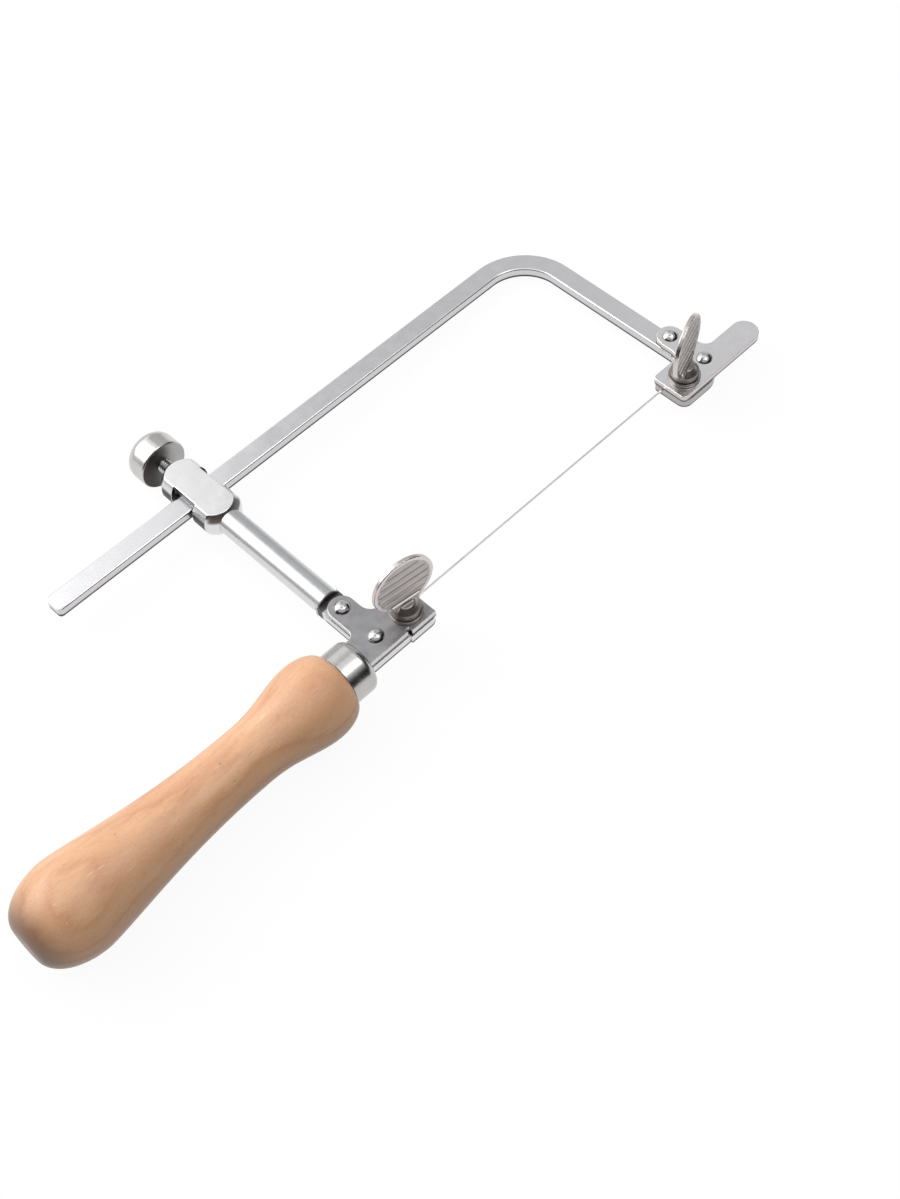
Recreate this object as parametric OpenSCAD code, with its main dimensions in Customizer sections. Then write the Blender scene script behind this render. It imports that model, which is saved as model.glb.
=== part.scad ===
// Adjustable fret saw: a flat bow slides in a block on the rear arm, and two riveted clamps hold the blade.
// The saw lies flat: +X runs along the handle and blade, +Y from the blade to the back of the bow, +Z up.
// The origin is the centre of the flat on the handle's butt.

/* [Handle] */
// Length of the wood from the butt to the ferrule
handle_l = 103.6; // [80:0.2:130]
// Diameter of the flat on the butt
butt_flat_d = 9; // [5:0.5:12]
// Largest diameter of the butt bulb
butt_d = 27.4; // [22:0.2:34]
// Distance of the butt bulb's widest point from the butt
butt_at = 15.5; // [11:0.5:22]
// Diameter of the waist
waist_d = 17.4; // [14:0.2:20]
// Distance of the waist from the ferrule
waist_from_ferrule = 32; // [24:1:40]
// Diameter of the bulb in front of the waist
front_bulb_d = 24; // [20:0.2:28]
// Distance of the front bulb's widest point from the ferrule
front_bulb_from_ferrule = 8.6; // [6:0.2:12]

/* [Ferrule] */
// Outside diameter of the ferrule
ferrule_d = 16; // [13:0.2:19]
// Length of the ferrule
ferrule_l = 8.4; // [7:0.1:12]
// Wall of the ferrule
ferrule_wall = 0.8; // [0.5:0.1:1.4]
// Radius of the ferrule's front edge
ferrule_edge = 2.4; // [0.8:0.1:2.8]

/* [Rear arm] */
// Diameter of the round rod
rod_d = 8; // [6:0.2:8.6]
// Distance of the rod's axis from the ferrule
rod_from_ferrule = 7.1; // [6:0.1:10]
// Height of the rod's shoulder over the handle axis
shoulder_y = 20; // [19.4:0.2:26]
// Depth of the rod in the slider block
rod_in_block = 7.2; // [4:0.2:7.6]
// Reach of the foot from the handle axis towards the open side of the saw
foot_low = 4.5; // [3.6:0.1:5]
// Reach of the foot from the handle axis towards the bow
foot_high = 5.4; // [4:0.1:6]
// Length of the tang in the wood
tang_l = 46; // [30:1:60]
// Width of the tang where it enters the wood
tang_w = 6.4; // [4:0.2:8]
// Width of the tang at its tip
tang_tip_w = 2.6; // [1.6:0.2:4]
// Distance of the saw cut from the foot's column
notch_gap = 3.4; // [2.8:0.1:4]
// Width of the saw cut
notch_w = 1; // [0.6:0.1:1.4]

/* [Bow] */
// Width of the flat bar, in the plane of the saw
bar_w = 6.6; // [5:0.1:9]
// Thickness of the flat bar and of the foot
bar_t = 3.4; // [2.6:0.1:4.2]
// Radius along the bar's edges
bar_edge = 0.6; // [0.3:0.1:1]
// Inside radius of the bend
bend_r = 13; // [8:0.5:20]
// Length of bar behind the rod's axis
tail_l = 53.6; // [30:0.5:80]
// Corner radius of the tail's end
tail_corner = 1.6; // [0.8:0.1:2.2]
// Depth of the throat, from the blade's back to the bar
throat = 68.3; // [50:0.5:90]

/* [Clamps] */
// Distance between the two pairs of jaws
jaw_gap = 101.9; // [70:0.1:115]
// Distance of the rear jaw's end from the rod's axis
rear_jaw_l = 16.7; // [15:0.1:20]
// Reach of the rear lower jaw past its plate
rear_jaw_over = 1; // [0:0.1:2]
// Length of the front jaw behind the bow
front_jaw_l = 11.8; // [11:0.1:15]
// Setback of the front lower jaw from its plate
front_jaw_back = 0.6; // [0:0.1:1]
// Reach of the jaws from the handle axis towards the bow
jaw_high = 7.2; // [6:0.1:8]
// Reach of the jaws from the handle axis towards the open side
jaw_low = 5.1; // [4.6:0.1:6]
// Thickness of the jaw plates
plate_t = 2.2; // [1.4:0.1:2.8]
// Depth of the seat that the blade lies in
seat_d = 0.4; // [0.36:0.02:0.6]
// Diameter of the rivets' shanks
rivet_d = 2.6; // [2:0.1:2.8]
// Diameter of the rivets' heads
rivet_head_d = 5; // [4:0.1:5.6]
// Height of the rivets' upper heads
rivet_head_h = 1.4; // [0.8:0.1:1.8]
// Height of the rivets' lower heads
rivet_foot_h = 0.7; // [0.4:0.1:1]
// Height of the lower rivets over the handle axis
rivet_low_y = 1.1; // [0.6:0.05:1.2]
// Distance between the two rivets of a clamp
rivet_pitch = 13.3; // [12.6:0.1:15]
// Radius of the rounded end of a jaw plate
plate_end_r = 4; // [3.4:0.1:4.6]
// Length of the ear past the bow
ear_l = 18.2; // [12:0.2:24]
// Overhang of the front plate past the bow
column_over = 1.6; // [0.4:0.1:2.4]
// Height of the ear's upper edge over the handle axis
ear_high = 3.6; // [2:0.1:4]
// Radius between the rear column and its jaw
rear_web_r = 4; // [2:0.2:5]
// Radius between the rear column and the foot
foot_web_r = 2.2; // [1:0.2:3]
// Radius between the front column and its jaw or ear
front_web_r = 3; // [1:0.2:4]
// Radius of the jaws' upper corners
jaw_corner = 1.4; // [0.6:0.1:2]
// Radius of the lower jaws' corners on the open side
toe_r = 2.8; // [1:0.2:3.6]
// Radius of the bow's lower outer corner
heel_r = 7; // [3:0.5:8]

/* [Thumb screws] */
// Distance of the rear clamp screw from the end of its jaw
rear_screw_inset = 5.5; // [5.2:0.1:6.2]
// Distance of the front clamp screw from the end of its jaw
front_screw_inset = 6.7; // [5.4:0.1:7]
// Height of the clamp screws over the handle axis
screw_y = 0.8; // [0.4:0.05:0.85]
// Diameter of the clamp screws
screw_d = 3.5; // [3:0.1:3.6]
// Length of a clamp screw below the foot
screw_out = 0.6; // [0.2:0.1:1.4]
// Outside diameter of the washers
washer_d = 9.6; // [8:0.1:10.2]
// Thickness of the washers
washer_t = 1; // [0.6:0.1:1.4]
// Diameter of a wing's hub
hub_d = 8.4; // [6:0.1:9.2]
// Height of a wing's hub
hub_h = 3.2; // [2.4:0.1:4.4]
// Diameter of a wing's round paddle
paddle_d = 19.4; // [15:0.2:20]
// Height of the paddle's centre over the washer
paddle_up = 11.8; // [11:0.1:16]
// Thickness of the paddle's rim
paddle_t = 1.4; // [1.1:0.1:2.4]
// Width of the paddle's rim
paddle_rim = 1.3; // [0.8:0.1:2]
// Depth of the paddle's grooved faces below its rim
paddle_sunk = 0.3; // [0.15:0.05:0.4]
// Number of ribs on each face of the paddle
rib_count = 5; // [3:1:7]
// Width of a rib
rib_w = 0.8; // [0.5:0.1:1.2]
// Turn of the front wing from the blade's line
front_wing_angle = 20; // [-40:1:40]
// Turn of the rear wing from the blade's line
rear_wing_angle = -7; // [-40:1:40]

/* [Slider block] */
// Diameter of the block
block_d = 13.6; // [13.2:0.2:16]
// Height of the milled flat over the block's axis
block_flat = 4.7; // [4.6:0.1:5.4]
// Distance of the side flats from the block's axis
block_side = 4.8; // [4.4:0.1:5.4]
// Length of the block below the bow
block_low = 10; // [8.4:0.2:14]
// Length of the block above the bow
block_high = 9; // [7:0.2:14]
// Excess of the domed ends' radius over the block's own radius
dome_over = 0.6; // [0.2:0.1:3]
// Reach of the side flats below the bow
mouth_low = 1.2; // [0.6:0.1:2]
// Room for the lock screw's tip over the bow
lock_room = 1.5; // [1:0.1:2.4]
// Diameter of the lock screw
lock_d = 4.4; // [3:0.1:5.4]
// Gap between the block and the lock knob
knob_gap = 4.3; // [2:0.1:6]
// Diameter of the lock knob
knob_d = 15.8; // [12:0.2:20]
// Length of the lock knob
knob_l = 9; // [6:0.2:14]
// Radius of the lock knob's outer edge
knob_edge = 4; // [1:0.2:4.6]

/* [Blade] */
// Width of the blade
blade_w = 0.6; // [0.4:0.05:0.7]
// Thickness of the blade
blade_t = 0.3; // [0.2:0.02:0.32]
// Length of the blade in the rear jaw
blade_in_rear = 15.6; // [8:0.1:15.8]
// Length of the blade in the front jaw
blade_in_front = 12.5; // [8:0.1:13]
// Height of the blade's middle over the handle axis
blade_y = 3.2; // [3.15:0.05:3.6]
// Pitch of the teeth
tooth_pitch = 0.8; // [0.5:0.05:1.6]
// Depth of the teeth
tooth_d = 0.18; // [0.1:0.02:0.24]
// Plain length of the blade outside each jaw
blade_plain = 2; // [1:0.5:12]

/* [Hidden] */
$fn = 96;

// Clearances: a running fit, a driven fit, the space under a seated face, a loose hole, the blade's groove
run_gap = 0.05;
fit_gap = 0.02;
seat_gap = 0.02;
loose_gap = 0.3;
groove_gap = 0.25;
// Reach of a cut past the face that it opens
over = 1;
// Depth of the foot's neck behind the ferrule's rounded front, and metal of a hub over its stud
neck_in = 1.4;
hub_cap = 0.5;

// Places along the saw
ferrule_x = handle_l + ferrule_l;
neck_x = ferrule_x - ferrule_edge - neck_in;
rod_x = ferrule_x + rod_from_ferrule;
rear_jaw_x = rod_x + rear_jaw_l;
front_jaw_x = rear_jaw_x + jaw_gap;
leg_in_x = front_jaw_x + front_jaw_l;
leg_out_x = leg_in_x + bar_w;
column_x = leg_out_x + column_over;
front_rivet_x = column_x - plate_end_r;
rear_screw_x = rear_jaw_x - rear_screw_inset;
front_screw_x = front_jaw_x + front_screw_inset;
notch_x = rod_x + plate_end_r + notch_gap;
ear_x = leg_out_x + ear_l;

// Places across the saw
bar_in_y = blade_y + blade_w / 2 + throat;
bar_out_y = bar_in_y + bar_w;
rivet_high_y = rivet_low_y + rivet_pitch;
slot_out_y = bar_out_y + lock_room;
block_in_y = bar_in_y - block_low;
block_out_y = bar_out_y + block_high;
knob_y = block_out_y + knob_gap;

// Levels
bar_top = bar_t / 2;
plate_top = bar_top + plate_t;
washer_top = plate_top + washer_t;

// Handle outline, radius at x: dome, long fall to the waist, rise to the front bulb and shoulder
waist_x = handle_l - waist_from_ferrule;
front_bulb_x = handle_l - front_bulb_from_ferrule;
shoulder_r = ferrule_d / 2 - 0.5;
function quarter(u) = sqrt(max(0, 1 - u * u));
function ease(u) = (1 - cos(180 * u)) / 2;
function mix(a, b, u) = a + (b - a) * u;
function handle_r(x) =
    x < butt_at ? mix(butt_flat_d / 2, butt_d / 2, quarter(1 - x / butt_at))
    : x < waist_x ? mix(butt_d / 2, waist_d / 2, ease(pow((x - butt_at) / (waist_x - butt_at), 0.65)))
    : x < front_bulb_x
        ? mix(waist_d / 2, front_bulb_d / 2, ease(pow((x - waist_x) / (front_bulb_x - waist_x), 1.2)))
    : mix(shoulder_r, front_bulb_d / 2, quarter((x - front_bulb_x) / front_bulb_from_ferrule));
// Stations crowd towards the two rounded ends
handle_stations = [
    each [for (i = [0:11]) butt_at * (1 - cos(90 * i / 12))],
    each [for (i = [0:31]) mix(butt_at, front_bulb_x, i / 32)],
    each [for (i = [0:9]) front_bulb_x + front_bulb_from_ferrule * sin(90 * i / 9)]
];

// Turned shape along +X from an outline of [distance, radius]
module turned_x() {
    rotate([0, 90, 0]) rotate([0, 0, 90]) rotate_extrude() children();
}

// Turned shape along +Y from an outline of radius and distance, on the rod's axis
module turned_y() {
    translate([rod_x, 0, 0]) rotate([-90, 0, 0]) rotate_extrude() children();
}

// Round bar along +Y on the rod's axis
module bar_y(r, from, to) {
    translate([rod_x, from, 0]) rotate([-90, 0, 0]) cylinder(r = r, h = to - from);
}

// Upright round bar
module bar_z(x, y, r, from, to) {
    translate([x, y, from]) cylinder(r = r, h = to - from);
}

// Block between two corners
module span(low, high) {
    translate(low) cube(high - low);
}

// Flat rectangle between two corners
module patch(low, high) {
    translate(low) square(high - low);
}

// Material that fills an inside corner with a radius; sx and sy point out of the corner
module fill_corner(at, r, sx, sy) {
    translate(at) difference() {
        translate([sx > 0 ? 0 : -r, sy > 0 ? 0 : -r]) square(r);
        translate([sx * r, sy * r]) circle(r);
    }
}

// Material to take off an outside corner to round it; sx and sy point into the shape
module trim_corner(at, r, sx, sy) {
    translate(at) difference() {
        translate([sx > 0 ? -over : -r, sy > 0 ? -over : -r]) square(r + over);
        translate([sx * r, sy * r]) circle(r);
    }
}

// Section of the bar with its edges rounded, centred
module bar_section() {
    square([bar_w - 2 * bar_edge, bar_t], center = true);
    square([bar_w, bar_t - 2 * bar_edge], center = true);
    for (sx = [-1, 1], sy = [-1, 1])
        translate([sx * (bar_w / 2 - bar_edge), sy * (bar_t / 2 - bar_edge)]) circle(bar_edge);
}

// Rivet through a clamp: domed head, shank and low foot
module rivet(x, y) {
    bar_z(x, y, rivet_d / 2, -bar_top - seat_gap, plate_top + seat_gap);
    translate([x, y, plate_top]) cap(rivet_head_h);
    translate([x, y, -bar_top]) mirror([0, 0, 1]) cap(rivet_foot_h);
}

// Low dome of the rivet head's diameter standing on z = 0
module cap(h) {
    dome_r = (pow(rivet_head_d / 2, 2) + h * h) / (2 * h);
    intersection() {
        translate([0, 0, h - dome_r]) sphere(dome_r);
        cylinder(d = rivet_head_d, h = h + over);
    }
}

// Washer under a wing
module washer(x) {
    difference() {
        bar_z(x, screw_y, washer_d / 2, plate_top, washer_top);
        bar_z(x, screw_y, screw_d / 2 + loose_gap, plate_top - over, washer_top + over);
    }
}

// Stud of a clamp screw, from below the foot into the wing's hub
module stud(x) {
    bar_z(x, screw_y, screw_d / 2, -bar_top - screw_out, washer_top + hub_h - hub_cap - run_gap);
}

// Wing of a clamp screw: a round paddle with ribbed faces on a turned hub
module wing(x, turn) {
    sunk_t = paddle_t - 2 * paddle_sunk;
    face_r = paddle_d / 2 - paddle_rim;
    rib_step = 2 * face_r / (rib_count + 1);
    translate([x, screw_y, washer_top + seat_gap]) difference() {
        union() {
            translate([0, 0, paddle_up]) rotate([0, 0, turn]) rotate([90, 0, 0]) {
                cylinder(r = face_r + fit_gap, h = sunk_t, center = true);
                difference() {
                    cylinder(d = paddle_d, h = paddle_t, center = true);
                    cylinder(r = face_r, h = paddle_t + over, center = true);
                }
                // Ribs across both faces, level with the rim
                intersection() {
                    cylinder(r = face_r + fit_gap, h = paddle_t, center = true);
                    for (i = [1:rib_count])
                        translate([0, i * rib_step - face_r, 0])
                            cube([paddle_d, rib_w, paddle_t], center = true);
                }
            }
            // Neck from the hub up to the paddle
            rotate([0, 0, turn]) translate([0, 0, hub_h / 2]) rotate([90, 0, 0])
                linear_extrude(hub_d * 0.26, center = true)
                    polygon([[-hub_d * 0.45, 0], [hub_d * 0.45, 0],
                        [hub_d * 0.57, paddle_up - paddle_d / 2 + paddle_rim],
                        [-hub_d * 0.57, paddle_up - paddle_d / 2 + paddle_rim]]);
            // Hub with a coned top
            cylinder(d = hub_d, h = hub_h * 0.6);
            translate([0, 0, hub_h * 0.6]) cylinder(d1 = hub_d, d2 = hub_d * 0.62, h = hub_h * 0.6);
        }
        translate([0, 0, -over]) cylinder(r = screw_d / 2 + run_gap, h = hub_h - hub_cap + over);
    }
}

// Shape of the rear foot and plate where they lie on each other, up to the end of the jaw
module rear_outline(end_x) {
    patch([ferrule_x + seat_gap, -foot_low], [end_x, foot_high]);
    patch([notch_x, -jaw_low], [end_x, jaw_high]);
    patch([rod_x, 0], [end_x, jaw_high]);
    patch([rod_x - plate_end_r, 0], [rod_x + plate_end_r, rivet_high_y]);
    fill_corner([rod_x - plate_end_r, foot_high], foot_web_r, -1, 1);
    fill_corner([rod_x + plate_end_r, jaw_high], rear_web_r, 1, 1);
}

// Holes of one clamp: two rivets and the screw
module clamp_holes(rivet_x, screw_x, screw_r) {
    for (y = [rivet_low_y, rivet_high_y])
        bar_z(rivet_x, y, rivet_d / 2 + fit_gap, -bar_top - over, plate_top + over);
    bar_z(screw_x, screw_y, screw_r, -bar_top - over, plate_top + over);
}

// Tang outline in plan, grown all round by gap
module tang_outline(gap) {
    polygon([[handle_l - tang_l - gap, -tang_tip_w / 2 - gap], [neck_x, -tang_w / 2 - gap],
        [neck_x, tang_w / 2 + gap], [handle_l - tang_l - gap, tang_tip_w / 2 + gap]]);
}

module handle() {
    color("burlywood") difference() {
        union() {
            turned_x() polygon([[0, 0], each [for (x = handle_stations) [handle_r(x), x]], [0, handle_l]]);
            turned_x()
                patch([0, handle_l - over], [ferrule_d / 2 - ferrule_wall - fit_gap, neck_x - seat_gap]);
        }
        linear_extrude(bar_t + 2 * fit_gap, center = true) tang_outline(fit_gap);
    }
}

module ferrule() {
    color("gainsboro") difference() {
        turned_x() {
            patch([0, handle_l + seat_gap], [ferrule_d / 2, ferrule_x - ferrule_edge]);
            patch([0, ferrule_x - ferrule_edge - fit_gap], [ferrule_d / 2 - ferrule_edge, ferrule_x]);
            translate([ferrule_d / 2 - ferrule_edge, ferrule_x - ferrule_edge]) circle(ferrule_edge);
        }
        turned_x()
            patch([0, handle_l - over], [ferrule_d / 2 - ferrule_wall, ferrule_x - ferrule_edge - fit_gap]);
        span([handle_l, -foot_low - fit_gap, -bar_top - fit_gap],
            [ferrule_x + over, foot_high + fit_gap, bar_top + fit_gap]);
    }
}

module rear_arm() {
    jaw_end_x = rear_jaw_x + rear_jaw_over;
    seat = bar_top - seat_d;
    color("silver") difference() {
        union() {
            bar_y(rod_d / 2, shoulder_y, block_in_y + rod_in_block);
            linear_extrude(bar_t, center = true) {
                difference() {
                    union() {
                        rear_outline(jaw_end_x);
                        patch([rod_x - plate_end_r, 0], [rod_x + plate_end_r, shoulder_y + over]);
                        patch([neck_x, -foot_low], [rod_x, foot_high]);
                    }
                    trim_corner([jaw_end_x, -jaw_low], toe_r, -1, 1);
                    trim_corner([jaw_end_x, jaw_high], jaw_corner, -1, -1);
                }
                tang_outline(0);
            }
        }
        clamp_holes(rod_x, rear_screw_x, screw_d / 2 + run_gap);
        // Lowered jaw face, and the groove that takes the blade's end past the rivet
        span([notch_x, -jaw_low - over, seat], [jaw_end_x + over, jaw_high + over, bar_top + over]);
        span([rear_jaw_x - blade_in_rear - groove_gap, blade_y - blade_w / 2 - groove_gap, seat],
            [rear_jaw_x, blade_y + blade_w / 2 + groove_gap, bar_top + over]);
    }
}

module rear_jaw_plate() {
    color("gainsboro") difference() {
        translate([0, 0, bar_top]) linear_extrude(plate_t) difference() {
            union() {
                rear_outline(rear_jaw_x);
                translate([rod_x, rivet_high_y]) circle(plate_end_r);
            }
            // Saw cut between the foot and the jaw
            patch([notch_x - notch_w / 2, -jaw_low - over], [notch_x + notch_w / 2, notch_w - foot_low]);
            trim_corner([rear_jaw_x, jaw_high], jaw_corner, -1, -1);
        }
        clamp_holes(rod_x, rear_screw_x, screw_d / 2 + loose_gap);
    }
}

module rear_upper_rivet() {
    color("gainsboro") rivet(rod_x, rivet_high_y);
}

module rear_lower_rivet() {
    color("gainsboro") rivet(rod_x, rivet_low_y);
}

module rear_washer() {
    color("dimgray") washer(rear_screw_x);
}

module rear_screw() {
    color("silver") stud(rear_screw_x);
}

module rear_wing() {
    color("rosybrown") wing(rear_screw_x, rear_wing_angle);
}

module slider_block() {
    r = block_d / 2;
    dome_r = r + dome_over;
    // Centres of the domes, whose end faces are as wide as the rod and a little wider than the lock screw
    low_y = block_in_y + sqrt(pow(dome_r, 2) - pow(rod_d / 2, 2));
    high_y = block_out_y - sqrt(pow(dome_r, 2) - pow(lock_d / 2 + 2, 2));
    color("whitesmoke") difference() {
        // Round body between two domed ends, milled flat on top
        intersection() {
            union() {
                bar_y(r, low_y, high_y);
                intersection() {
                    bar_y(r, block_in_y, low_y + fit_gap);
                    translate([rod_x, low_y, 0]) sphere(dome_r);
                }
                intersection() {
                    bar_y(r, high_y - fit_gap, block_out_y);
                    translate([rod_x, high_y, 0]) sphere(dome_r);
                }
            }
            span([rod_x - r - over, block_in_y - over, -r - over],
                [rod_x + r + over, block_out_y + over, block_flat]);
        }
        // Slot for the bow, with a side flat milled at each mouth
        span([rod_x - r - over, bar_in_y - run_gap, -bar_top - run_gap],
            [rod_x + r + over, slot_out_y, bar_top + run_gap]);
        for (side = [-1, 1])
            span([rod_x + (side > 0 ? block_side : -r - over), bar_in_y - mouth_low, -r - over],
                [rod_x + (side > 0 ? r + over : -block_side), slot_out_y, block_flat + over]);
        // Blind bore for the rod and the lock screw's hole
        bar_y(rod_d / 2 + fit_gap, block_in_y - over, block_in_y + rod_in_block + fit_gap);
        bar_y(lock_d / 2 + run_gap, bar_out_y - loose_gap, block_out_y + over);
    }
}

module lock_screw() {
    color("silver") bar_y(lock_d / 2, bar_out_y + seat_gap, knob_y + knob_l * 0.6);
}

module lock_knob() {
    rim = 0.6;
    color("gainsboro") difference() {
        turned_y() difference() {
            union() {
                patch([0, knob_y], [knob_d / 2 - rim, knob_y + knob_l]);
                patch([0, knob_y + rim], [knob_d / 2, knob_y + knob_l]);
                translate([knob_d / 2 - rim, knob_y + rim]) circle(rim);
            }
            trim_corner([knob_d / 2, knob_y + knob_l], knob_edge, -1, -1);
        }
        bar_y(lock_d / 2 + run_gap, knob_y - over, knob_y + knob_l * 0.6 + run_gap);
    }
}

module bow() {
    mid_r = bend_r + bar_w / 2;
    bend_x = leg_in_x - bend_r;
    bend_y = bar_in_y - bend_r;
    tail_x = rod_x - tail_l;
    jaw_end_x = front_jaw_x + front_jaw_back;
    seat = bar_top - seat_d;
    color("lightgray") difference() {
        union() {
            // Long leg through the block
            translate([tail_x, bar_in_y + bar_w / 2, 0]) rotate([90, 0, 90])
                linear_extrude(bend_x - tail_x) bar_section();
            // Edgewise bend
            translate([bend_x, bend_y, 0]) rotate_extrude(angle = 90) translate([mid_r, 0]) bar_section();
            // Short leg down to the front jaw
            translate([leg_in_x + bar_w / 2, 0, 0]) rotate([-90, 0, 0]) linear_extrude(bend_y) bar_section();
            // Front lower jaw, forged out of the leg's end
            linear_extrude(bar_t, center = true) difference() {
                union() {
                    patch([jaw_end_x, -jaw_low], [leg_out_x, jaw_high]);
                    fill_corner([leg_in_x, jaw_high], front_web_r, -1, 1);
                }
                trim_corner([jaw_end_x, -jaw_low], toe_r, 1, 1);
                trim_corner([jaw_end_x, jaw_high], jaw_corner, 1, -1);
                trim_corner([leg_out_x, -jaw_low], heel_r, -1, 1);
            }
        }
        // Eased corners of the tail
        linear_extrude(bar_t + 2 * over, center = true) {
            trim_corner([tail_x, bar_in_y], tail_corner, 1, 1);
            trim_corner([tail_x, bar_out_y], tail_corner, 1, -1);
        }
        clamp_holes(front_rivet_x, front_screw_x, screw_d / 2 + run_gap);
        // Lowered jaw face, and the groove that lets the blade run on across the leg
        span([front_jaw_x - over, -jaw_low - over, seat],
            [leg_in_x, jaw_high + front_web_r + over, bar_top + over]);
        span([front_jaw_x, blade_y - blade_w / 2 - groove_gap, seat],
            [leg_out_x + over, blade_y + blade_w / 2 + groove_gap, bar_top + over]);
    }
}

module front_jaw_plate() {
    ear_r = (ear_high + jaw_low) / 2;
    color("gainsboro") difference() {
        translate([0, 0, bar_top]) linear_extrude(plate_t) difference() {
            union() {
                patch([front_jaw_x, -jaw_low], [column_x, jaw_high]);
                patch([leg_in_x, 0], [column_x, rivet_high_y]);
                translate([front_rivet_x, rivet_high_y]) circle(plate_end_r);
                fill_corner([leg_in_x, jaw_high], front_web_r, -1, 1);
                // Ear with a round tip
                patch([column_x - over, -jaw_low], [ear_x - ear_r, ear_high]);
                translate([ear_x - ear_r, ear_high - ear_r]) circle(ear_r);
                fill_corner([column_x, ear_high], front_web_r, 1, 1);
            }
            trim_corner([front_jaw_x, -jaw_low], jaw_corner, 1, 1);
            trim_corner([front_jaw_x, jaw_high], jaw_corner, 1, -1);
        }
        clamp_holes(front_rivet_x, front_screw_x, screw_d / 2 + loose_gap);
    }
}

module front_upper_rivet() {
    color("gainsboro") rivet(front_rivet_x, rivet_high_y);
}

module front_lower_rivet() {
    color("gainsboro") rivet(front_rivet_x, rivet_low_y);
}

module front_washer() {
    color("dimgray") washer(front_screw_x);
}

module front_screw() {
    color("silver") stud(front_screw_x);
}

module front_wing() {
    color("rosybrown") wing(front_screw_x, front_wing_angle);
}

// Plain ends, and teeth that point at the handle along the open edge
module blade() {
    first_x = rear_jaw_x + blade_plain;
    teeth = floor((jaw_gap - 2 * blade_plain) / tooth_pitch);
    end_x = [rear_jaw_x - blade_in_rear, front_jaw_x + blade_in_front];
    back = blade_y + blade_w / 2;
    tips = blade_y - blade_w / 2;
    color("dimgray") translate([0, 0, bar_top - seat_d + (seat_d - blade_t) / 2]) linear_extrude(blade_t)
        polygon([[end_x[0], back], [end_x[0], tips],
            each [for (i = [0:teeth - 1], p = [[0, 0], [0.35, tooth_d]])
                [first_x + (i + p[0]) * tooth_pitch, tips + p[1]]],
            [first_x + teeth * tooth_pitch, tips], [end_x[1], tips], [end_x[1], back]]);
}

handle();
ferrule();
rear_arm();
rear_jaw_plate();
rear_upper_rivet();
rear_lower_rivet();
rear_washer();
rear_screw();
rear_wing();
slider_block();
lock_screw();
lock_knob();
bow();
front_jaw_plate();
front_upper_rivet();
front_lower_rivet();
front_washer();
front_screw();
front_wing();
blade();
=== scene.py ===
import math

import bmesh
import bpy
from mathutils import Matrix, Vector


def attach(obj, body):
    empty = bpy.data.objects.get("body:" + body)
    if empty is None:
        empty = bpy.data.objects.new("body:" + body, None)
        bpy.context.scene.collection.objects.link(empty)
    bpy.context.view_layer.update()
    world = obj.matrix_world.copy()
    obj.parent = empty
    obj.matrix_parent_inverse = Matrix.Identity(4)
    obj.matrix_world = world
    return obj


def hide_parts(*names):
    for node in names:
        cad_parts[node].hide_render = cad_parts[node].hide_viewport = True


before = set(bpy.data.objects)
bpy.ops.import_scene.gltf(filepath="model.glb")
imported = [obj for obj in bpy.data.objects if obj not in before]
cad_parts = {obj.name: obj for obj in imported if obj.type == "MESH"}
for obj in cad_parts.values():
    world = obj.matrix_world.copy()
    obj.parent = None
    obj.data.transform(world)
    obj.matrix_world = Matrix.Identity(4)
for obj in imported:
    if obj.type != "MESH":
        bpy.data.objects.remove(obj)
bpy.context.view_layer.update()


# Handle
# One turned piece of pale close-grained hardwood, sanded and waxed: a long bulb for the palm at the
# butt, a waist, and a short bulb in front. It is drilled for the tang, which is driven in.
MM = 0.001


class Wire:
    """A node's output socket. Python's operators on it add Math nodes to its tree."""

    def __init__(self, tree, socket=None):
        self.tree, self.socket = tree, socket

    def add(self, kind, sockets=None, out=0, **settings):
        """Adds any other node: its settings first, then the values or links of its sockets."""
        node = self.tree.nodes.new(kind)
        for key, value in settings.items():
            setattr(node, key, value)
        for key, value in (sockets or {}).items():
            if isinstance(value, Wire):
                self.tree.links.new(value.socket, node.inputs[key])
            else:
                node.inputs[key].default_value = value
        return Wire(self.tree, node.outputs[out])

    def math(self, operation, *terms, clamp=False):
        return self.add("ShaderNodeMath", dict(enumerate(terms)), operation=operation, use_clamp=clamp)

    def __add__(self, other):
        return self.math("ADD", self, other)

    def __sub__(self, other):
        return self.math("SUBTRACT", self, other)

    def __rsub__(self, other):
        return self.math("SUBTRACT", other, self)

    def __mul__(self, other):
        return self.math("MULTIPLY", self, other)

    def __truediv__(self, other):
        return self.math("DIVIDE", self, other)

    def __pow__(self, other):
        return self.math("POWER", self, other)

    __radd__, __rmul__ = __add__, __mul__

    def axis(self, number):
        """One of the three numbers of a vector."""
        return self.add("ShaderNodeSeparateXYZ", {0: self}, out=number)

    def held(self):
        """The value held between 0 and 1."""
        return self.math("ADD", self, 0.0, clamp=True)

    def rise(self, low, high):
        """0 below low, 1 above high, and a smooth step between them."""
        return self.add("ShaderNodeMapRange", {0: self, 1: low, 2: high}, interpolation_type="SMOOTHSTEP")

    def blend(self, low, high):
        """A colour between low and high by this value."""
        return self.add("ShaderNodeMix", {0: self, 6: low, 7: high}, out=2, data_type="RGBA")


def grower(name, **inputs):
    """An empty Geometry Nodes tree with a named input for each size, and a wire from each of them."""
    tree = bpy.data.node_groups.new(name, "GeometryNodeTree")
    for key, kind in inputs.items():
        tree.interface.new_socket(key, in_out="INPUT", socket_type="NodeSocket" + kind)
    tree.interface.new_socket("Shape", in_out="OUTPUT", socket_type="NodeSocketGeometry")
    entry = tree.nodes.new("NodeGroupInput")
    return Wire(tree), {key: Wire(tree, entry.outputs[key]) for key in inputs}


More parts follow.
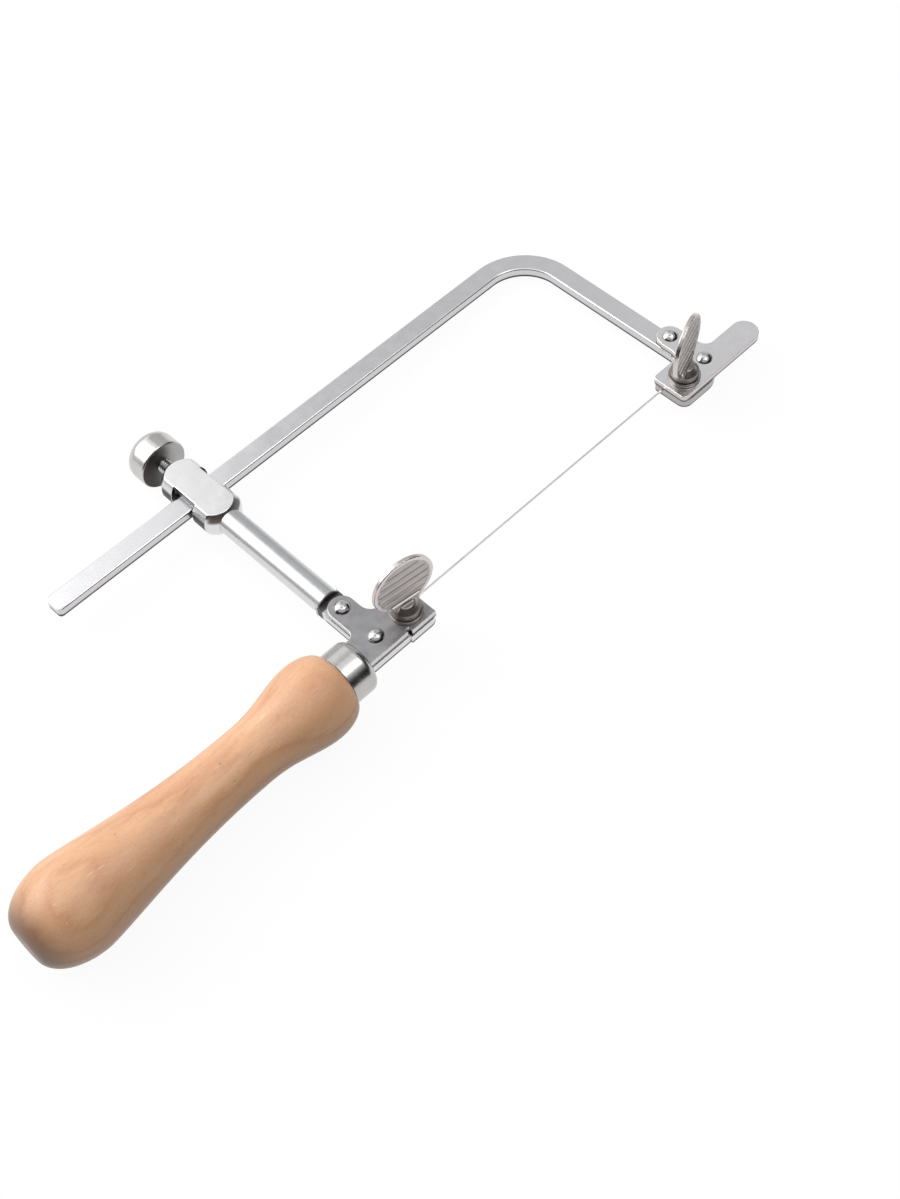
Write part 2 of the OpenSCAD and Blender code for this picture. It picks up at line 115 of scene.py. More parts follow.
def ends_in(shape, material):
    """Realizes a tree's shape, gives it its material and makes it the tree's result."""
    made = shape.add("GeometryNodeRealizeInstances", {"Geometry": shape})
    made = shape.add("GeometryNodeSetMaterial", {"Geometry": made, "Material": material})
    shape.tree.links.new(made.socket, shape.tree.nodes.new("NodeGroupOutput").inputs[0])


def plain_mesh(source, fold=40):
    """What an object's modifiers make of it, as a plain mesh that is smooth up to the fold angle."""
    bpy.context.view_layer.update()
    graph = bpy.context.evaluated_depsgraph_get()
    mesh = bpy.data.meshes.new_from_object(source.evaluated_get(graph), depsgraph=graph)
    bpy.data.objects.remove(source)
    if fold:
        mesh.shade_smooth()
        mesh.set_sharp_from_angle(angle=math.radians(fold))
    return mesh


def grown(tree, sizes, fold=40):
    """The mesh that a tree grows from these sizes."""
    seed = bpy.data.objects.new("seed", bpy.data.meshes.new("seed"))
    bpy.context.scene.collection.objects.link(seed)
    nodes = seed.modifiers.new("grow", "NODES")
    nodes.node_group = tree
    for item in tree.interface.items_tree:
        if item.in_out == "INPUT" and item.name in sizes:
            nodes[item.identifier] = sizes[item.name]
    return plain_mesh(seed, fold)


def piece(name, mesh, body, slot, *nodes):
    """A finished piece of the saw that rides on a body and stands for CAD nodes."""
    made = bpy.data.objects.new(name, mesh)
    mesh.name = name
    bpy.context.scene.collection.objects.link(made)
    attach(made, body)
    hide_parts(*nodes)
    return made


def finish(name):
    """A new material, its Principled shader and a wire of Object coordinates in millimetres."""
    material = bpy.data.materials.new(name)
    material.use_nodes = True
    tree = material.node_tree
    spot = Wire(tree).add("ShaderNodeTexCoord", out=3)
    spot = spot.add("ShaderNodeVectorMath", {0: spot, "Scale": 1000.0}, operation="SCALE")
    return material, tree.nodes["Principled BSDF"], spot


def noise(spot, stretch, detail=3.0, rough=0.5):
    """Soft noise whose features are about as long as stretch, in millimetres along x, y and z."""
    near = spot.add("ShaderNodeMapping", {"Vector": spot, "Scale": [1 / s for s in stretch]})
    return spot.add("ShaderNodeTexNoise",
        {"Vector": near, "Scale": 1.0, "Detail": detail, "Roughness": rough})


def feed(shader, **wires):
    """Links wires to a shader's sockets, whose names have their spaces left out."""
    for key, wire in wires.items():
        names = {s.name.replace(" ", ""): s for s in shader.inputs}
        wire.tree.links.new(wire.socket, names[key])


wood, shader, spot = finish("waxed_wood")
aim = spot.add("ShaderNodeTexCoord", out=1)
clouds = noise(spot, (34, 8, 8), 4.0, 0.55)
fibres = noise(spot, (11, 0.34, 0.34), 4.0, 0.65)
flecks = noise(spot, (1.1, 0.5, 0.5), 3.0, 0.6)
pores = noise(spot, (2.4, 0.17, 0.17), 1.0).rise(0.64, 0.76)
cracks = noise(spot, (46, 0.9, 0.9), 2.0).rise(0.715, 0.735)
rings = spot.add("ShaderNodeVectorMath", {0: spot, 1: (-70, 9, -30)}, operation="SUBTRACT")
rings = rings.add("ShaderNodeVectorMath", {0: rings, 1: (0.06, 1, 1)}, operation="MULTIPLY")
rings = rings.add("ShaderNodeVectorMath", {0: rings}, out=1, operation="LENGTH") + 7 * clouds
rings = rings.math("PINGPONG", rings, 1.9) / 1.9
rings = rings * rings * rings
grain = (0.95 * clouds + 0.4 * fibres + 0.22 * flecks - 0.24 * rings - 0.17).held()
colour = grain.blend((0.58, 0.235, 0.112, 1), (0.98, 0.61, 0.355, 1))
colour = (0.5 * pores).blend(colour, (0.36, 0.15, 0.07, 1))
colour = (0.4 * cracks).blend(colour, (0.98, 0.74, 0.55, 1))
knot = spot.add("ShaderNodeVectorMath", {0: spot, 1: (63.7, -0.85, 9.1)}, out=1, operation="DISTANCE")
colour = (0.6 - 0.6 * knot.rise(0.2, 0.62)).blend(colour, (0.25, 0.1, 0.05, 1))
# The butt's faces are painted darker: partly end grain, partly painted shade.
end_grain_and_shade = (0 - aim.axis(0)).rise(0.2, 0.9)
colour = (0.84 * end_grain_and_shade).blend(colour, (0.17, 0.092, 0.064, 1))
colour = (0.75 * spot.axis(0).rise(102.9, 103.5)).blend(colour, (0.09, 0.03, 0.02, 1))
feed(shader, BaseColor=colour, Roughness=0.46 - 0.12 * fibres + 0.1 * clouds)
relief = fibres + 0.6 * flecks - 0.4 * pores - 0.3 * rings - cracks
feed(shader, Normal=spot.add("ShaderNodeBump", {"Strength": 0.35, "Distance": 0.05 * MM, "Height": relief}))
shader.inputs["Coat Weight"].default_value = 0.35
shader.inputs["Coat Roughness"].default_value = 0.37

turning, size = grower("turning", Length="Float", Butt_flat="Float", Butt="Float", Butt_at="Float",
    Waist="Float", Waist_at="Float", Bulb="Float", Bulb_at="Float", Shoulder="Float")
rail = turning.add("GeometryNodeCurvePrimitiveLine", {"Start": (0, 0, 0), "End": (1, 0, 0)})
rail = turning.add("GeometryNodeResampleCurve", {"Curve": rail, "Count": 220})
share = turning.add("GeometryNodeSplineParameter")
x = size["Length"] * (0.5 - 0.5 * turning.math("COSINE", share * math.pi))
place = turning.add("ShaderNodeCombineXYZ", {"X": x})
rail = turning.add("GeometryNodeSetPosition", {"Geometry": rail, "Position": place})
x = turning.add("GeometryNodeInputPosition").axis(0)


def round_over(u):
    """Height of a quarter circle at u."""
    return turning.math("SQRT", (1 - u * u).held())


def swing(u):
    """Easy rise from 0 to 1."""
    return 0.5 - 0.5 * turning.math("COSINE", u * math.pi)


at_butt = (x / size["Butt_at"]).held()
to_waist = ((x - size["Butt_at"]) / (size["Waist_at"] - size["Butt_at"])).held()
to_bulb = ((x - size["Waist_at"]) / (size["Bulb_at"] - size["Waist_at"])).held()
to_shoulder = ((x - size["Bulb_at"]) / (size["Length"] - size["Bulb_at"])).held()
radius = size["Butt_flat"] + (size["Butt"] - size["Butt_flat"]) * round_over(1 - at_butt)
radius = radius + (size["Waist"] - size["Butt"]) * swing(to_waist ** 0.65)
radius = radius + (size["Bulb"] - size["Waist"]) * swing(to_bulb ** 1.2)
radius = radius + (size["Shoulder"] - size["Bulb"]) * (1 - round_over(to_shoulder))
ring = turning.add("GeometryNodeCurvePrimitiveCircle", {"Resolution": 120, "Radius": 1.0})
ends_in(turning.add("GeometryNodeCurveToMesh",
    {"Curve": rail, "Profile Curve": ring, "Scale": radius, "Fill Caps": True}), wood)
handle_mesh = grown(turning.tree, {"Length": 103.6 * MM, "Butt_flat": 4.5 * MM, "Butt": 13.7 * MM,
    "Butt_at": 15.5 * MM, "Waist": 8.7 * MM, "Waist_at": 71.6 * MM, "Bulb": 12 * MM, "Bulb_at": 95 * MM,
    "Shoulder": 7.5 * MM})
piece("turned_handle", handle_mesh, "frame", "wood", "handle")


# Ferrule
# A short cap drawn from thin steel tube, rolled over at the front and bright plated. It is pressed on
# the handle's tenon and keeps the wood from splitting round the tang.


def plated(name, tint, dull, lay, cloud=0.1, waves=0.01, sides=None, edge=None, dark=None):
    """Bright plating over ground steel: fine lines that are as long as lay, uneven polish in waves of so
    many millimetres, a painted tint of light and shade on upright faces, a painted highlight on rounded
    edges, and painted shade, made duller too, where dark picks."""
    material, shader, spot = finish(name)
    lines = noise(spot, lay, 3.0, 0.6)
    polish = noise(spot, (3.4, 3.4, 3.4), 4.0, 0.6)
    aim = spot.add("ShaderNodeTexCoord", out=1)
    level = aim.math("ABSOLUTE", aim.axis(2))
    tone = 1 - cloud + 2 * cloud * (0.65 * polish + 0.35 * lines)
    tone = tone.add("ShaderNodeCombineColor", {0: tone, 1: tone, 2: tone})
    # Upright faces take the sides tint: painted light and shade by the way each face is turned.
    colour = level.rise(0.45, 0.8).blend((*(sides or tint), 1), (*tint, 1))
    colour = colour.add("ShaderNodeMix", {0: 1.0, 6: colour, 7: tone}, out=2, data_type="RGBA",
        blend_type="MULTIPLY")
    if edge:
        # Painted highlight: faces that slope like rounded edges take the edge tint.
        painted_edge_highlight = level.rise(0.15, 0.4) * (1 - level.rise(0.88, 0.98))
        colour = painted_edge_highlight.blend(colour, (*edge, 1))
    rough = dull * (0.4 + 0.6 * lines + 0.6 * polish)
    if dark:
        # Painted shade, near black and duller, where dark picks.
        where = dark(spot, aim)
        colour, rough = where.blend(colour, (0.05, 0.043, 0.04, 1)), rough + 0.25 * where
    feed(shader, BaseColor=colour, Roughness=rough)
    feed(shader, Normal=spot.add("ShaderNodeBump",
        {"Strength": 1.0, "Distance": MM, "Height": 0.002 * lines + waves * polish}))
    shader.inputs["Metallic"].default_value = 1
    return material


def copied(node):
    """The faces of a CAD node, joined up."""
    shape = bmesh.new()
    shape.from_mesh(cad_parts[node].data)
    bmesh.ops.remove_doubles(shape, verts=shape.verts, dist=1e-6)
    return shape


def ease(shape, width, keep=None, least=0):
    """Rounds over the sharp edges of joined faces, but not those that keep picks or those next to faces
    smaller than the least."""
    bmesh.ops.dissolve_limit(shape, angle_limit=math.radians(0.5), verts=shape.verts, edges=shape.edges)
    sharp = [e for e in shape.edges if e.calc_face_angle(0) > math.radians(28) and not (keep and keep(e))
        and min(face.calc_area() for face in e.link_faces) > least]
    bmesh.ops.bevel(shape, geom=sharp, offset=width, offset_type="OFFSET", segments=2, profile=0.5,
        affect="EDGES", clamp_overlap=False, loop_slide=True)


def even(shape):
    """A mesh of these faces whose flat faces shade flat and whose roundings shade smooth."""
    mesh = bpy.data.meshes.new("even")
    shape.to_mesh(mesh)
    shape.free()
    mesh.shade_smooth()
    mesh.set_sharp_from_angle(angle=math.radians(50))
    source = bpy.data.objects.new("even", mesh)
    bpy.context.scene.collection.objects.link(source)
    source.modifiers.new("even", "WEIGHTED_NORMAL").keep_sharp = True
    return plain_mesh(source, fold=0)


def eased(node, width):
    """A copy of a CAD node's mesh with its sharp edges rounded over."""
    shape = copied(node)
    ease(shape, width)
    return even(shape)


def dressed(mesh, material):
    """The mesh with one material all over."""
    mesh.materials.clear()
    mesh.materials.append(material)
    return mesh


ferrule_plate = plated("ferrule_plating", (0.5, 0.495, 0.485), dull=0.24, lay=(0.25, 9, 9), cloud=0.2,
    waves=0.06)
piece("ferrule_cap", dressed(eased("ferrule", 0.12 * MM), ferrule_plate), "frame", "plated_steel", "ferrule")


# Rear arm
# Forged in one piece: a tang in the handle, a flat foot that is the rear lower jaw, and a round rod
# that rises from the foot to carry the slider block. Ground and bright plated.


def upright(aim):
    """1 on faces that stand upright, and 0 on level ones."""
    return 1 - aim.math("ABSOLUTE", aim.axis(2)).rise(0.7, 0.95)


def arm_painted_shade(spot, aim):
    """Painted shade in the corner of the rod's shoulder, and painted dark lines along the foot's lower edge
    and under its plate.
    """
    y, z = spot.axis(1), spot.axis(2)
    shoulder = 0.9 * y.rise(18.0, 18.6) * (1 - y.rise(20.2, 20.9))
    edge_shade = (0.9 - 0.9 * z.rise(-1.2, -0.6) + 0.8 * z.rise(1.2, 1.5)) * (1 - y.rise(16.6, 17.6))
    return shoulder.math("MAXIMUM", shoulder, edge_shade * upright(aim))


arm_plate = plated("arm_plating", (0.59, 0.595, 0.605), dull=0.27, lay=(0.3, 14, 0.3), waves=0.012,
    sides=(0.7, 0.69, 0.69), dark=arm_painted_shade)
piece("rear_arm_forging", dressed(eased("rear_arm", 0.14 * MM), arm_plate), "frame", "plated_steel",
    "rear_arm")


# Slider block
# A round steel bar with domed ends, milled flat on top, slotted for the bow and bored for the rod. Its
# plating is brighter than the rod's.


def block_painted_shade(spot, aim):
    """Painted shade in the slot, on its two mouths and below the flat's end."""
    sides, ends = aim.math("ABSOLUTE", aim.axis(0)), aim.math("ABSOLUTE", aim.axis(1))
    under_flat = (0 - aim.axis(1)).rise(0.4, 0.6) * spot.axis(2).rise(1.6, 2.6)
    return (0.93 * sides.rise(0.92, 0.98) + 0.9 * ends.rise(0.92, 0.98) + 0.8 * under_flat).held()


block_plate = plated("block_plating", (0.82, 0.815, 0.825), dull=0.24, lay=(5, 5, 5), cloud=0.07, waves=0.012,
    sides=(0.74, 0.735, 0.74), dark=block_painted_shade)
rod_x = 119.1
bore_rim_y = 62.2
shape = copied("slider_block")
ease(shape, 0.2 * MM, keep=lambda edge: max(v.co.y for v in edge.verts) < bore_rim_y * MM)
block_mesh = dressed(even(shape), block_plate)


def shade_as_ball(mesh, normals, middle, radius):
    """Sets the normals of the faces that lie on a ball, in millimetres, to point straight out of it."""
    for face in mesh.polygons:
        out = [mesh.vertices[v].co - Vector(middle) * MM for v in face.vertices]
        on_ball = max(abs(o.length - radius * MM) for o in out) < 0.02 * MM
        if on_ball and face.normal.dot(sum(out, Vector())) > 0:
            for corner, o in zip(face.loop_indices, out):
                normals[corner] = o.normalized()


normals = [Vector(corner.vector) for corner in block_mesh.corner_normals]
for dome_y in (68.026, 81.307):
    shade_as_ball(block_mesh, normals, middle=(rod_x, dome_y, 0), radius=7.4)
block_mesh.normals_split_custom_set(normals)
piece("slider_body", block_mesh, "frame", "plated_steel", "slider_block")


# Lock screw and knob
# A threaded stud that presses on the bow's edge, and the turned knob on its outer end. The knob's rim
# is rounded over on the outside, where fingers hold it.
stud_steel = plated("stud_steel", (0.5, 0.495, 0.49), dull=0.22, lay=(2, 2, 2))
threading, size = grower("threading", Radius="Float", Length="Float", Pitch="Float", Depth="Float",
    Rows="Int")
sheet = threading.add("GeometryNodeMeshGrid",
    {"Size X": 1.0, "Size Y": 1.0, "Vertices X": 41, "Vertices Y": size["Rows"]})
spread = threading.add("GeometryNodeInputPosition")
around = spread.axis(0) + 0.5
height = (spread.axis(1) + 0.5) * size["Length"]
flank = threading.math("PINGPONG", height / size["Pitch"] - around, 0.5) * 2
radius = size["Radius"] - size["Depth"] * flank
tip = threading.math("MINIMUM", height, size["Length"] - height) / (0.5 * size["Depth"])
radius = radius * (tip * (2 - tip.held())).held()
angle = around * (2 * math.pi)
place = threading.add("ShaderNodeCombineXYZ",
    {"X": radius * threading.math("COSINE", angle), "Y": radius * threading.math("SINE", angle), "Z": height})
sheet = threading.add("GeometryNodeSetPosition", {"Geometry": sheet, "Position": place})
ends_in(threading.add("GeometryNodeMergeByDistance", {"Geometry": sheet, "Distance": 2e-6}), stud_steel)


def threaded(radius, low, high, pitch, turn, place):
    """A threaded stud from low to high along its axis, in millimetres, turned and put in its place."""
    length = high - low
    mesh = grown(threading.tree, {"Radius": radius * MM, "Length": length * MM, "Pitch": pitch * MM,
        "Depth": 0.5 * pitch * MM, "Rows": round(length / pitch * 10) + 1})
    mesh.transform(Matrix.Translation(Vector(place) * MM) @ turn @ Matrix.Translation((0, 0, low * MM)))
    return mesh


lie_down = Matrix.Rotation(math.radians(-90), 4, "X")
lock_thread = threaded(radius=2.2, low=78.42, high=97.1, pitch=0.8, turn=lie_down, place=(rod_x, 0, 0))
piece("lock_stud", lock_thread, "lock_screw", "plated_steel", "lock_screw")


def knob_painted_shade(spot, aim):
    """Painted shade on the knob's flat inner face, and less of it towards its front."""
    return (0.97 - 0.62 * spot.axis(0).rise(114, 125)) * (0 - aim.axis(1)).rise(0.8, 0.95)


knob_plate = plated("knob_plating", (0.6, 0.59, 0.585), dull=0.24, lay=(6, 0.3, 6), cloud=0.24, waves=0.07,
    dark=knob_painted_shade)
piece("turned_knob", dressed(eased("lock_knob", 0.1 * MM), knob_plate), "lock_knob", "plated_steel",
    "lock_knob")


# Bow
# A flat bar with its edges rounded, bent edgewise into a hook. The long leg slides in the block, and the
# short leg's end is forged into the front lower jaw.


def bow_painted_shade(spot, aim):
    """Painted shade along the bow's lower edge, under the front plate, and a little on all of the jaw's
    sides.
    """
    y, z = spot.axis(1), spot.axis(2)
    at_jaw = 1 - y.rise(6.5, 9.5)
    jaw = 0.35 + 0.6 * z.rise(0.9, 1.4) + 0.6 * (1 - z.rise(-1.4, -0.9))
    return upright(aim) * (at_jaw * jaw + (1 - at_jaw) * (0.94 - 0.94 * z.rise(-0.9, -0.35))).held()


bow_plate = plated("bow_plating", (0.72, 0.722, 0.738), dull=0.24, lay=(11, 11, 0.4), cloud=0.06, waves=0.006,
    sides=(0.62, 0.61, 0.615), dark=bow_painted_shade)
bending, size = grower("bending", Start="Float", Line="Float", Leg="Float", End="Float", Bend="Float",
    Width="Float", Thickness="Float", Edge="Float")
number = bending.add("GeometryNodeInputIndex")
place = bending.add("ShaderNodeCombineXYZ", {
    "X": size["Start"] + (size["Leg"] - size["Start"]) * bending.math("MINIMUM", number, 1.0),
    "Y": size["Line"] + (size["End"] - size["Line"]) * bending.math("MAXIMUM", number - 1, 0.0)})
rail = bending.add("GeometryNodeMeshToCurve", {"Mesh": bending.add("GeometryNodeMeshLine", {"Count": 3})})
rail = bending.add("GeometryNodeSetPosition", {"Geometry": rail, "Position": place})
rail = bending.add("GeometryNodeFilletCurve", {"Curve": rail, "Count": 40, "Radius": size["Bend"]},
    mode="POLY")
rail = bending.add("GeometryNodeSetCurveNormal", {"Curve": rail}, mode="Z_UP")
section = bending.add("GeometryNodeCurvePrimitiveQuadrilateral",
    {"Width": size["Width"], "Height": size["Thickness"]})
section = bending.add("GeometryNodeFilletCurve", {"Curve": section, "Count": 6, "Radius": size["Edge"]},
    mode="POLY")
ends_in(bending.add("GeometryNodeCurveToMesh",
    {"Curve": rail, "Profile Curve": section, "Fill Caps": True}), bow_plate)
tail_cut_x, jaw_cut_y = 70 * MM, 10.25 * MM
bar = bmesh.new()
bar.from_mesh(grown(bending.tree, {"Start": tail_cut_x, "Line": 75.1 * MM, "Leg": 252.8 * MM,
    "End": jaw_cut_y, "Bend": 16.3 * MM, "Width": 6.6 * MM, "Thickness": 3.4 * MM, "Edge": 0.6 * MM}))
for cut, away in (((tail_cut_x, 0, 0), (1, 0, 0)), ((0, jaw_cut_y, 0), (0, 1, 0))):
    shape = copied("bow")
    bmesh.ops.bisect_plane(shape, geom=[*shape.verts, *shape.edges, *shape.faces], dist=1e-7, plane_co=cut,
        plane_no=away, clear_outer=True)
    rim = [e for e in shape.edges if e.is_boundary]
    bmesh.ops.holes_fill(shape, edges=rim)
    ease(shape, 0.16 * MM, keep=lambda edge: edge in rim, least=0.2 * MM * MM)
    end = bpy.data.meshes.new("end")
    shape.to_mesh(end)
    shape.free()
    bar.from_mesh(end)
    bpy.data.meshes.remove(end)
piece("bow_bar", dressed(even(bar), bow_plate), "bow", "plated_steel", "bow")


# Jaw plates
# Two stampings of thick sheet, each riveted over a lower jaw at its back and pressed down on the blade
# by a screw. The front one runs on into a thumb ear.


def plate_painted_shade(spot, aim):
    """Painted shade along the lower edge of a jaw plate, where it lies on the jaw."""
    return upright(aim) * (0.9 - 0.9 * spot.axis(2).rise(2.1, 2.8))


def worn_plate_darkening(spot, aim):
    """The same painted shade, and darker and duller on top between the rivets than at the plate's screw end.
    """
    between = 0.36 * (1 - upright(aim)) * (1 - spot.axis(0).rise(134, 139))
    return between.math("MAXIMUM", between, plate_painted_shade(spot, aim))


worn_plate = plated("worn_jaw_plating", (0.5, 0.5, 0.515), dull=0.26, lay=(2.2, 2.2, 2.2), cloud=0.34,
    waves=0.03, sides=(0.6, 0.59, 0.59), edge=(0.92, 0.91, 0.9), dark=worn_plate_darkening)
front_plate = plated("jaw_plating", (0.76, 0.75, 0.765), dull=0.26, lay=(2.2, 2.2, 2.2), cloud=0.08,
    waves=0.012, sides=(0.6, 0.55, 0.54), edge=(0.95, 0.92, 0.91), dark=plate_painted_shade)
piece("rear_clamp_plate", dressed(eased("rear_jaw_plate", 0.22 * MM), worn_plate), "frame", "plated_steel",
    "rear_jaw_plate")
piece("front_clamp_plate", dressed(eased("front_jaw_plate", 0.22 * MM), front_plate), "bow", "plated_steel",
    "front_jaw_plate")


# Rivets
# Two domed steel rivets hold each jaw plate on its lower jaw, with the made head above and a low
# formed head below.
rivet_steel = plated("rivet_steel", (0.58, 0.58, 0.58), dull=0.12, lay=(1.2, 1.2, 1.2))
riveting, size = grower("riveting", Low="Float", High="Float", Head="Float", Head_rise="Float",
    Foot_rise="Float", Shank="Float", Pitch="Float")
rail = riveting.add("GeometryNodeCurvePrimitiveLine", {"Start": (0, 0, 0), "End": (0, 0, 1)})
rail = riveting.add("GeometryNodeResampleCurve", {"Curve": rail, "Count": 90})
share = riveting.add("GeometryNodeSplineParameter")
bottom, top = size["Low"] - size["Foot_rise"], size["High"] + size["Head_rise"]
level = bottom + (top - bottom) * (0.5 - 0.5 * riveting.math("COSINE", share * math.pi))
place = riveting.add("ShaderNodeCombineXYZ", {"Z": level})
rail = riveting.add("GeometryNodeSetPosition", {"Geometry": rail, "Position": place})
level = riveting.add("GeometryNodeInputPosition").axis(2)


def dome(rise, depth):
    """Radius of a low dome of this rise at a depth below its top."""
    ball = (size["Head"] * size["Head"] + rise * rise) / (2 * rise)
    return riveting.math("SQRT", riveting.math("MAXIMUM", depth * (2 * ball - depth), 0.0))


head = dome(size["Head_rise"], top - level) * riveting.math("GREATER_THAN", level, size["High"])
foot = dome(size["Foot_rise"], level - bottom) * riveting.math("LESS_THAN", level, size["Low"])
inside = riveting.math("GREATER_THAN", level, size["Low"]) * riveting.math("LESS_THAN", level, size["High"])
radius = riveting.math("MAXIMUM", riveting.math("MAXIMUM", head, foot),
    riveting.math("MAXIMUM", size["Shank"] * inside, 0.01 * MM))
ring = riveting.add("GeometryNodeCurvePrimitiveCircle", {"Resolution": 48, "Radius": 1.0})
rivet = riveting.add("GeometryNodeCurveToMesh", {"Curve": rail, "Profile Curve": ring, "Scale": radius,
    "Fill Caps": True})
step = riveting.add("ShaderNodeCombineXYZ", {"Y": size["Pitch"]})
pair = riveting.add("GeometryNodeMeshLine", {"Count": 2, "Offset": step})
ends_in(riveting.add("GeometryNodeInstanceOnPoints", {"Points": pair, "Instance": rivet}), rivet_steel)
lower_rivet_y = 1.1
for side, body, x in (("rear", "frame", rod_x), ("front", "bow", 253.7)):
    mesh = grown(riveting.tree, {"Low": -1.7 * MM, "High": 3.9 * MM, "Head": 2.5 * MM, "Head_rise": 1.4 * MM,
        "Foot_rise": 0.7 * MM, "Shank": 1.3 * MM, "Pitch": 13.3 * MM})
    mesh.transform(Matrix.Translation((x * MM, lower_rivet_y * MM, 0)))
    piece(side + "_rivets", mesh, body, "plated_steel", side + "_upper_rivet", side + "_lower_rivet")


# Thumb screws
# A stud is tapped through each lower jaw and carries a cast nickel-plated wing, whose round paddle has
# flutes across both faces. A loose dark washer lies under the hub.


rear_x, front_x = 130.3, 244.4
stud_y, paddle_z = 0.8, 16.7


def wing_painted_shade(spot, aim):
    """Painted shade on the hub, and a little on the paddle's faces inside its rim, which leaves the rim as a
    painted highlight.
    """
    along = spot.math("ABSOLUTE", spot.axis(0) - (rear_x + front_x) / 2)
    along = spot.math("ABSOLUTE", along - (front_x - rear_x) / 2)
    up, across = spot.axis(2) - paddle_z, spot.axis(1) - stud_y
    out = spot.math("SQRT", along * along + across * across + up * up)
    return 0.34 - 0.34 * out.rise(8.3, 8.9) + 0.65 * (1 - spot.axis(2).rise(7.0, 9.5))


nickel = plated("nickel_casting", (0.62, 0.575, 0.56), dull=0.24, lay=(4, 4, 4), cloud=0.24, waves=0.05,
    dark=wing_painted_shade)
dark_washer = plated("washer_steel", (0.34, 0.31, 0.29), dull=0.22, lay=(1.5, 1.5, 1.5))


def cast(node, grain_size, rounds):
    """A copy of a CAD node with all its edges softened, as a casting has them."""
    shape = copied(node)
    mesh = bpy.data.meshes.new("cast")
    shape.to_mesh(mesh)
    shape.free()
    source = bpy.data.objects.new("cast", mesh)
    bpy.context.scene.collection.objects.link(source)
    remesh = source.modifiers.new("even", "REMESH")
    remesh.mode, remesh.voxel_size = "VOXEL", grain_size
    soft = source.modifiers.new("soft", "SMOOTH")
    soft.factor, soft.iterations = 0.5, rounds
    return plain_mesh(source, fold=60)


for side, body, x in (("rear", "frame", rear_x), ("front", "bow", front_x)):
    thread = threaded(radius=1.75, low=-2.3, high=7.55, pitch=0.7, turn=Matrix.Identity(4),
        place=(x, stud_y, 0))
    piece(side + "_stud", thread, side + "_screw", "plated_steel", side + "_screw")
    piece(side + "_loose_washer", dressed(eased(side + "_washer", 0.16 * MM), dark_washer), body, "nickel",
        side + "_washer")
    piece(side + "_cast_wing", dressed(cast(side + "_wing", 0.15 * MM, 20), nickel), side + "_wing", "nickel",
        side + "_wing")


# Blade
# A fine blade of bright hardened steel with plain ends, held in the two clamps, its teeth on the side
# away from the bow and raked towards the handle.
blade_steel = plated("blade_steel_finish", (0.7, 0.69, 0.68), dull=0.3, lay=(6, 0.4, 0.4), cloud=0.2)
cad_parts["blade"].data.materials.clear()
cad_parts["blade"].data.materials.append(blade_steel)


# Floor, light and camera
# A pale table on which the saw rests with its front bulb and knob, low enough in front for the bow at its
# longest. A wide soft lamp stands to the far left and one to the right, in a room that is darker behind.
def lit_floor():
    """A dull cloth that shows as white to the eye and in mirrors, and still takes shadows."""
    material = bpy.data.materials.new("pale_table")
    material.use_nodes = True
    tree = material.node_tree
    tree.nodes.clear()
    wire = Wire(tree)
    seen = wire.add("ShaderNodeLightPath")
    glossy = Wire(tree, seen.socket.node.outputs["Is Glossy Ray"])
    through = Wire(tree, seen.socket.node.outputs["Is Transmission Ray"])
    shown = wire.math("MAXIMUM", wire.math("MAXIMUM", seen, glossy), through)
    cloth = wire.add("ShaderNodeBsdfDiffuse", {"Color": (0.25, 0.25, 0.25, 1)})
    white = wire.add("ShaderNodeEmission", {"Color": (1, 1, 1, 1), "Strength": 1.33})
    mixed = wire.add("ShaderNodeMixShader", {0: 0.7 * shown, 1: cloth, 2: white})
    tree.links.new(mixed.socket, tree.nodes.new("ShaderNodeOutputMaterial").inputs[0])
    return material


bulb, far_bend, knob = Vector((95.7, 0.6, -11.97)), Vector((295.1, 68.1, -1.7)), Vector((119.3, 97, -7.9))
rest_up = (far_bend - bulb).cross(knob - bulb).normalized()
floor_mesh = bpy.data.meshes.new("table")
across = rest_up.orthogonal()
corners = [Matrix.Rotation(math.radians(90 * k), 3, rest_up) @ across * 6 + bulb * MM - rest_up * 0.1 * MM
    for k in range(4)]
floor_mesh.from_pydata(corners, [], [(0, 1, 2, 3)])
floor_mesh.materials.append(lit_floor())
table = bpy.data.objects.new("table", floor_mesh)
bpy.context.scene.collection.objects.link(table)

scene = bpy.context.scene
scene.view_settings.view_transform = "Standard"
scene.world = bpy.data.worlds.new("room")
scene.world.use_nodes = True
tree = scene.world.node_tree
toward = Wire(tree).add("ShaderNodeTexCoord")
height = toward.math("ARCSINE", toward.axis(2)) * (180 / math.pi)
heading = toward.math("ARCTAN2", toward.axis(1), toward.axis(0)) * (180 / math.pi)


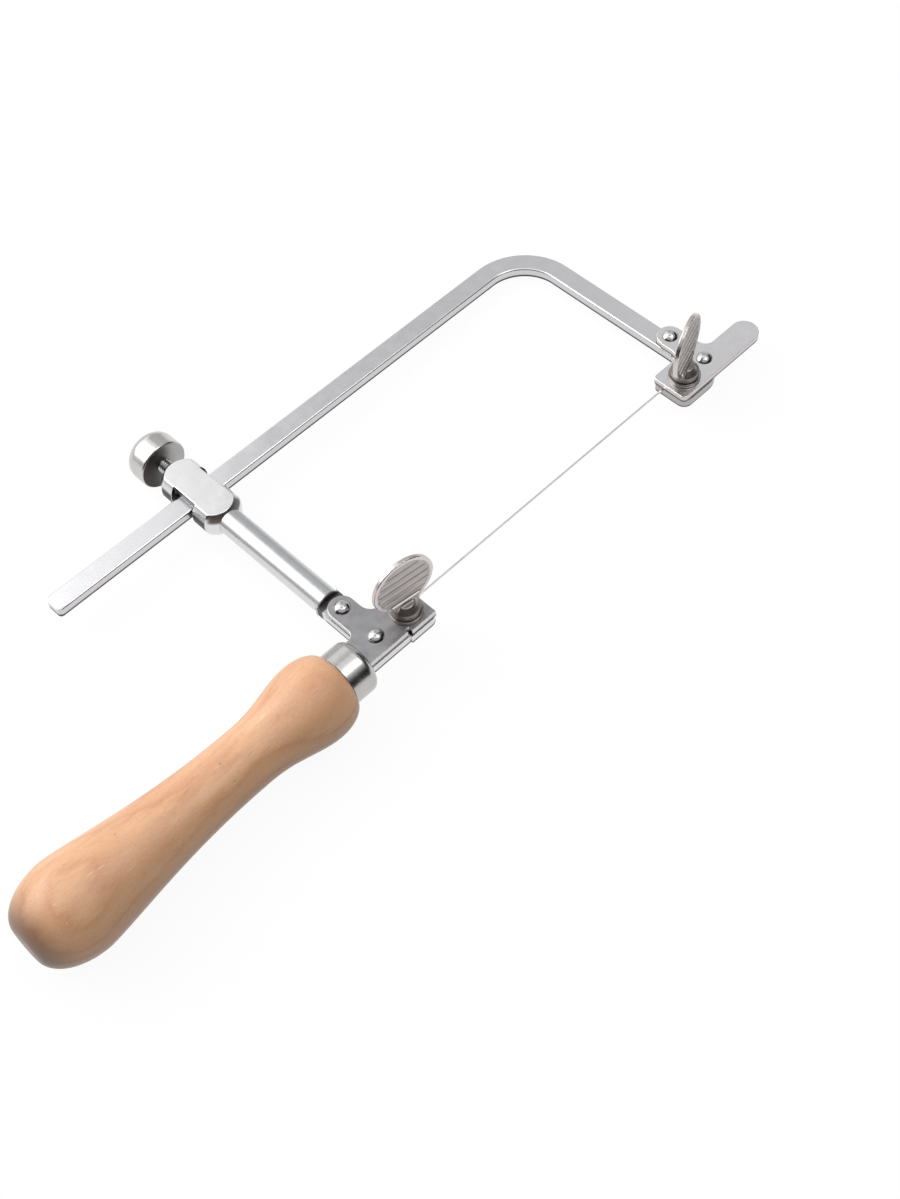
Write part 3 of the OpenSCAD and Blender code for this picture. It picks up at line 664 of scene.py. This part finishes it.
def patch(left, right, soft, low, high, fade):
    """1 in a part of the room between two headings and two heights in degrees, and 0 outside it."""
    wide = heading.rise(right - soft, right + soft) * (1 - heading.rise(left - soft, left + soft))
    return wide * height.rise(low - fade, low + fade) * (1 - height.rise(high - fade, high + fade))


overhead = height.rise(60, 72) * (1 - height.rise(72, 84))
far_wall = patch(left=150, right=62, soft=5, low=14, high=62, fade=7)
front_wall = patch(left=45, right=5, soft=6, low=30, high=62, fade=8)
dark_corner = patch(left=10, right=-184, soft=10, low=-30, high=36, fade=9)
dark_end = patch(left=184, right=154, soft=6, low=-30, high=36, fade=9)
room = 0.6 + 0.65 * far_wall + 0.95 * overhead + 0.12 * front_wall - 0.58 * dark_corner - 0.58 * dark_end
tree.links.new(room.socket, tree.nodes["Background"].inputs["Strength"])
tree.nodes["Background"].inputs["Color"].default_value = (1, 1, 1, 1)


def softbox(name, heading, height, far, size, watts):
    """A square soft lamp that looks at the middle of the saw."""
    a, e = math.radians(heading), math.radians(height)
    out = Vector((math.cos(a) * math.cos(e), math.sin(a) * math.cos(e), math.sin(e)))
    lamp = bpy.data.lights.new(name, "AREA")
    lamp.size, lamp.energy = size, watts
    made = bpy.data.objects.new(name, lamp)
    made.location = Vector((0.14, 0.04, 0)) + out * far
    made.rotation_euler = out.to_track_quat("Z", "Y").to_euler()
    made.visible_camera = False
    scene.collection.objects.link(made)


softbox("left_softbox", heading=122, height=42, far=0.9, size=0.7, watts=3.4)
softbox("right_softbox", heading=-60, height=62, far=0.9, size=0.35, watts=1.0)

camera = bpy.data.cameras.new("camera")
camera.lens, camera.sensor_width, camera.sensor_fit = 51.0155, 36, "AUTO"
camera.clip_start, camera.clip_end = 0.01, 20
eye = bpy.data.objects.new("camera", camera)
scene.collection.objects.link(eye)
right = Vector((0.70777, -0.70438, -0.05392))
up = Vector((0.60389, 0.56365, 0.56357))
back = right.cross(up).normalized()
up = back.cross(right)
turn = Matrix((right, up, back)).transposed().to_4x4()
eye.matrix_world = Matrix.Translation((-0.02751, -0.20353, 0.38277)) @ turn
scene.camera = eye
